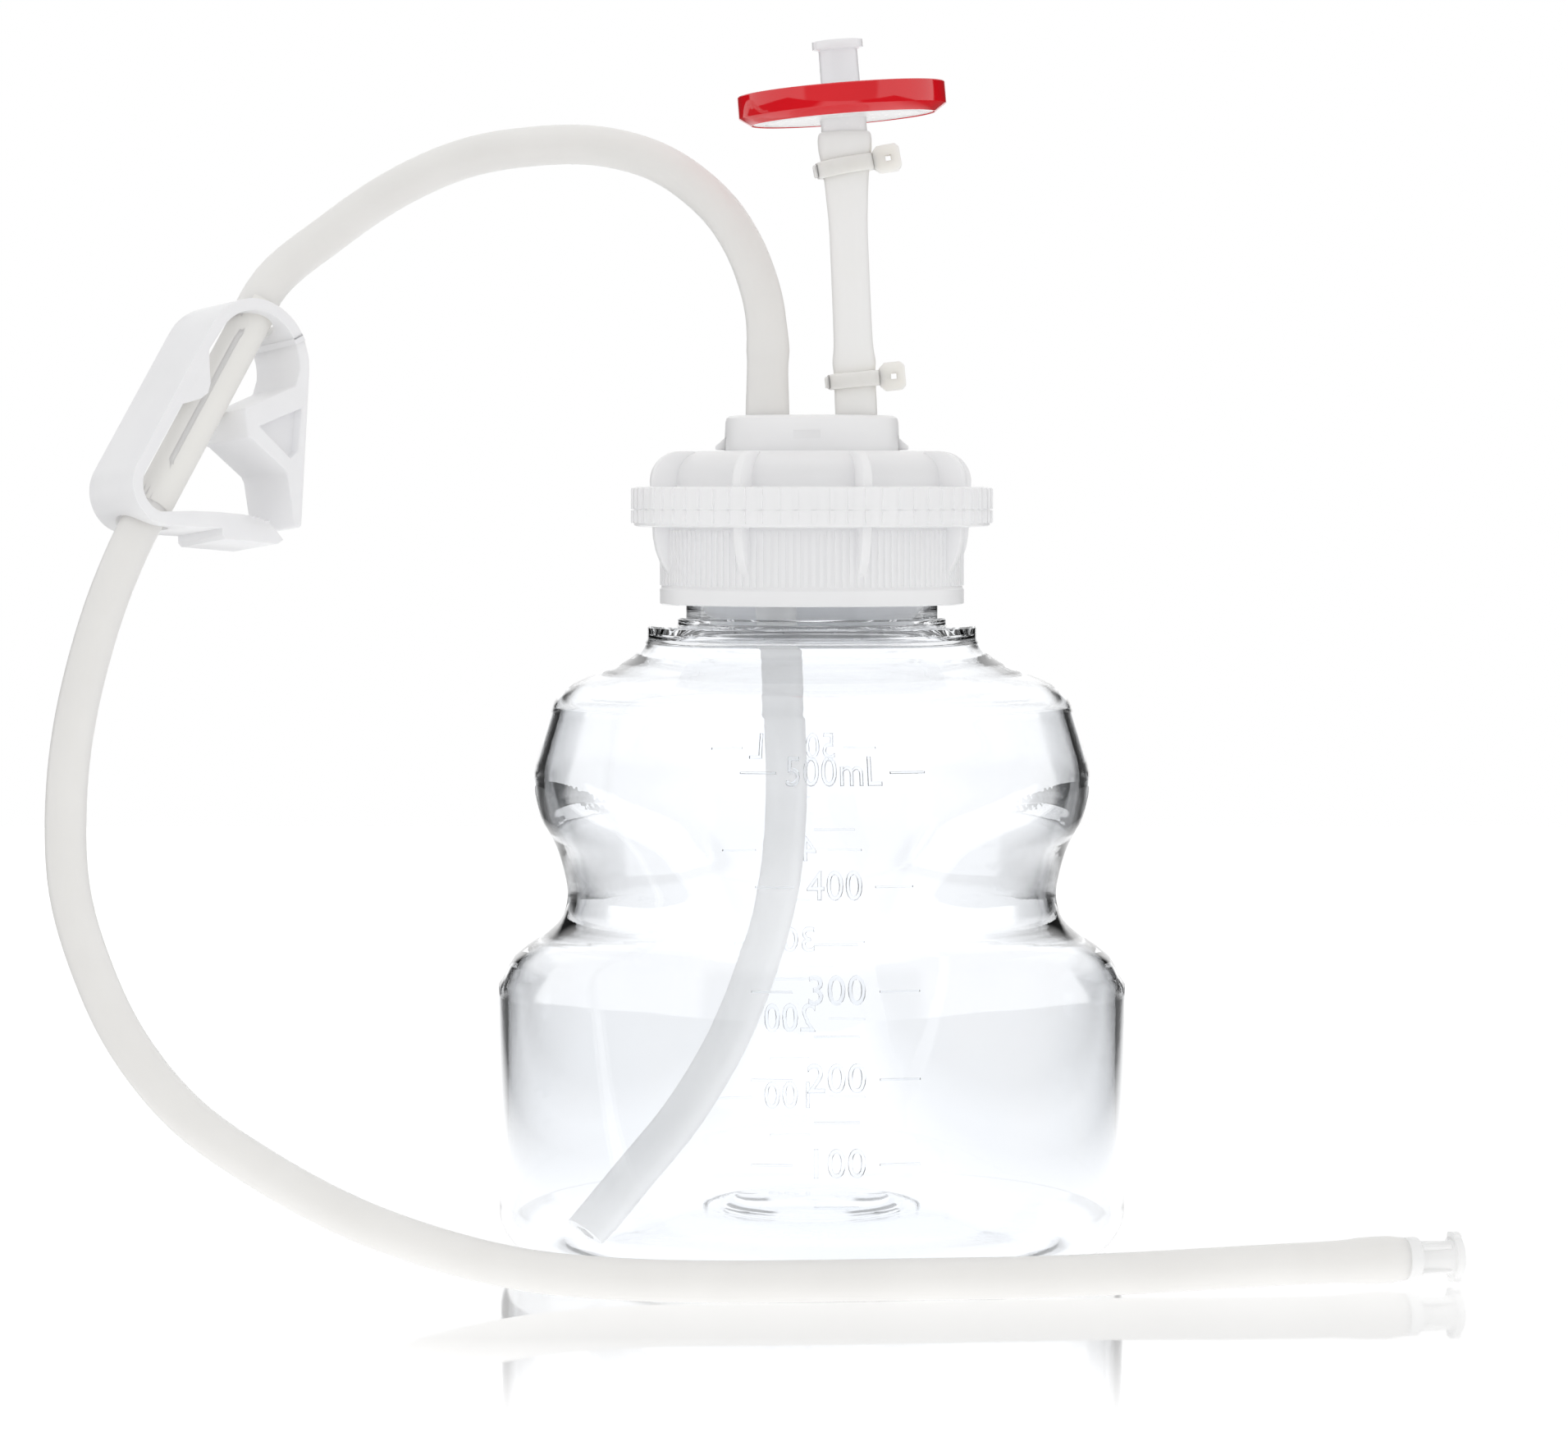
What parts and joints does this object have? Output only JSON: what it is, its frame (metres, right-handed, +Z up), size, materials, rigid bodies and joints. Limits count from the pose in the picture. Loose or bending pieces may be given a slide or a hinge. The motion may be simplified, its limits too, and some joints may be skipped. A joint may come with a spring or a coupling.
{
  "type": "hose-fitted sampling bottle",
  "caption": "Clear waisted bottle with a screw closure, dip tube, clamped hose ending in a luer fitting, and a disc vent filter on a short hose.",
  "frame": {"origin": "centre of the bottle's base, on the surface it stands on", "axes": "+Z up along the bottle; -Y is the graduated front; +X is the side of the vent filter's port"},
  "size_m": [0.2166, 0.1076, 0.1919],
  "materials": {
    "petg": "clear moulded plastic, glossy, faint blue tint in thick sections",
    "closure_pp": "milky translucent moulded plastic, satin",
    "seal": "soft matt washer",
    "hose": "warm off-white translucent hose, satin",
    "vent_hose": "clearer translucent hose, satin",
    "nylon": "natural cream, semi-gloss",
    "filter_shell": "clear moulded plastic, glossy",
    "red_band": "glossy red moulded band",
    "membrane": "white, matt",
    "luer_pp": "milky moulded plastic, satin",
    "clamp": "opaque white moulded plastic, satin"
  },
  "bodies": {
    "bottle": {"bottle": "petg"},
    "head": {"port_insert": "closure_pp", "neck_seal": "seal", "dip_tube": "hose", "main_hose": "hose", "vent_hose": "vent_hose", "lower_tie": "nylon", "upper_tie": "nylon", "filter_bottom": "filter_shell", "filter_top": "filter_shell", "filter_ring": "red_band", "filter_membrane": "membrane", "membrane_support": "membrane", "hose_luer": "luer_pp"},
    "nut": {"closure_nut": "closure_pp"},
    "clamp": {"clamp_frame": "clamp"},
    "lever": {"clamp_lever": "clamp"}
  },
  "joints": [
    {"name": "closure_lift", "type": "slide", "parent": "bottle", "child": "head", "axis": [0, 0, 1], "range_m": [0, 0.008]},
    {"name": "nut_turn", "type": "hinge", "parent": "head", "child": "nut", "pos_m": [0, 0, 0.115], "axis": [0, 0, 1], "range_deg": [0, 720]},
    {"name": "clamp_slide", "type": "slide", "parent": "head", "child": "clamp", "axis": [-0.3821, -0.4585, -0.8024], "range_m": [-0.005, 0.005]},
    {"name": "lever_close", "type": "hinge", "parent": "clamp", "child": "lever", "pos_m": [-0.08505, 0.00834, 0.14414], "axis": [-0.6571, 0.7453, -0.1129], "range_deg": [0, 13.5], "stiffness_Nm_per_rad": 0.02, "deforming": ["main_hose"]}
  ],
  "couplings": [
    {"joint": "nut_turn", "follows": "closure_lift", "rad_per_m": 1570.8}
  ]
}
